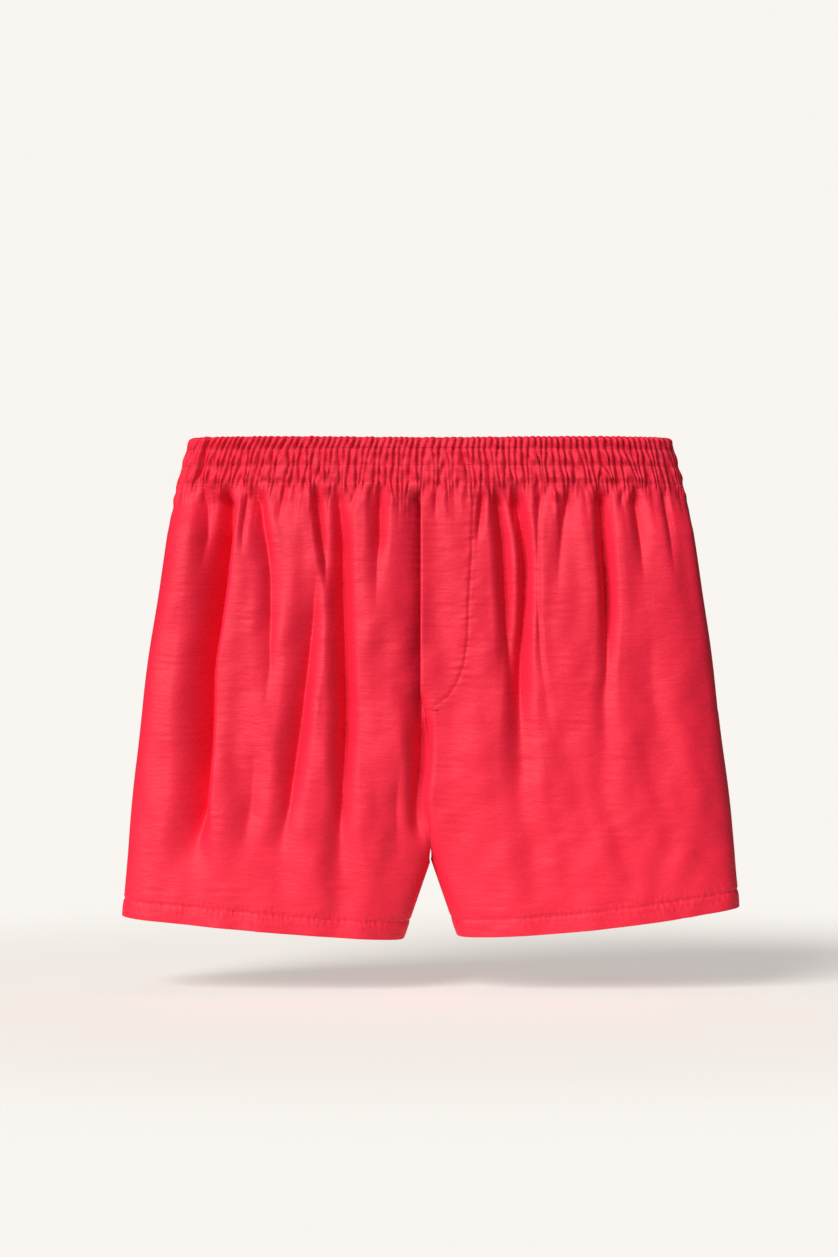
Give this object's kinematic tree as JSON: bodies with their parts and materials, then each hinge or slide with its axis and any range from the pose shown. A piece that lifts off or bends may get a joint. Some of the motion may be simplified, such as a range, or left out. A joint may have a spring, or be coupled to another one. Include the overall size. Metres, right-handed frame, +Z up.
{
  "type": "boxer shorts",
  "caption": "Loose woven boxer shorts, open as they are worn, with a gathered elastic waistband, a lapped fly and turned-up leg hems.",
  "frame": {"origin": "middle of the waist opening, level with the top edge of the waistband", "axes": "+Z up towards the waist, -Y to the front, +X to the wearer's left"},
  "size_m": [0.4672, 0.1372, 0.38],
  "materials": {
    "woven_cloth": "lightweight crinkled plain weave with a soft satin sheen",
    "sewing_thread": "twisted polyester thread, slightly shiny",
    "elastic_tape": "knitted elastic tape, matt",
    "label_tape": "printed satin tape left blank"
  },
  "bodies": {
    "root": {"front_panel_left": "woven_cloth", "front_panel_right": "woven_cloth", "back_panel_left": "woven_cloth", "back_panel_right": "woven_cloth", "waist_casing": "woven_cloth", "waist_elastic": "elastic_tape", "casing_stitch_row_1": "sewing_thread", "casing_stitch_row_2": "sewing_thread", "casing_stitch_row_3": "sewing_thread", "hem_band_left": "woven_cloth", "hem_band_right": "woven_cloth", "hem_stitch_left": "sewing_thread", "hem_stitch_right": "sewing_thread", "side_seam_left": "woven_cloth", "side_seam_right": "woven_cloth", "inseam_left": "woven_cloth", "inseam_right": "woven_cloth", "crotch_seam": "woven_cloth", "fly_facing": "woven_cloth", "fly_underlap": "woven_cloth", "fly_stitch": "sewing_thread", "fly_bartack": "sewing_thread", "care_label": "label_tape"}
  },
  "joints": []
}
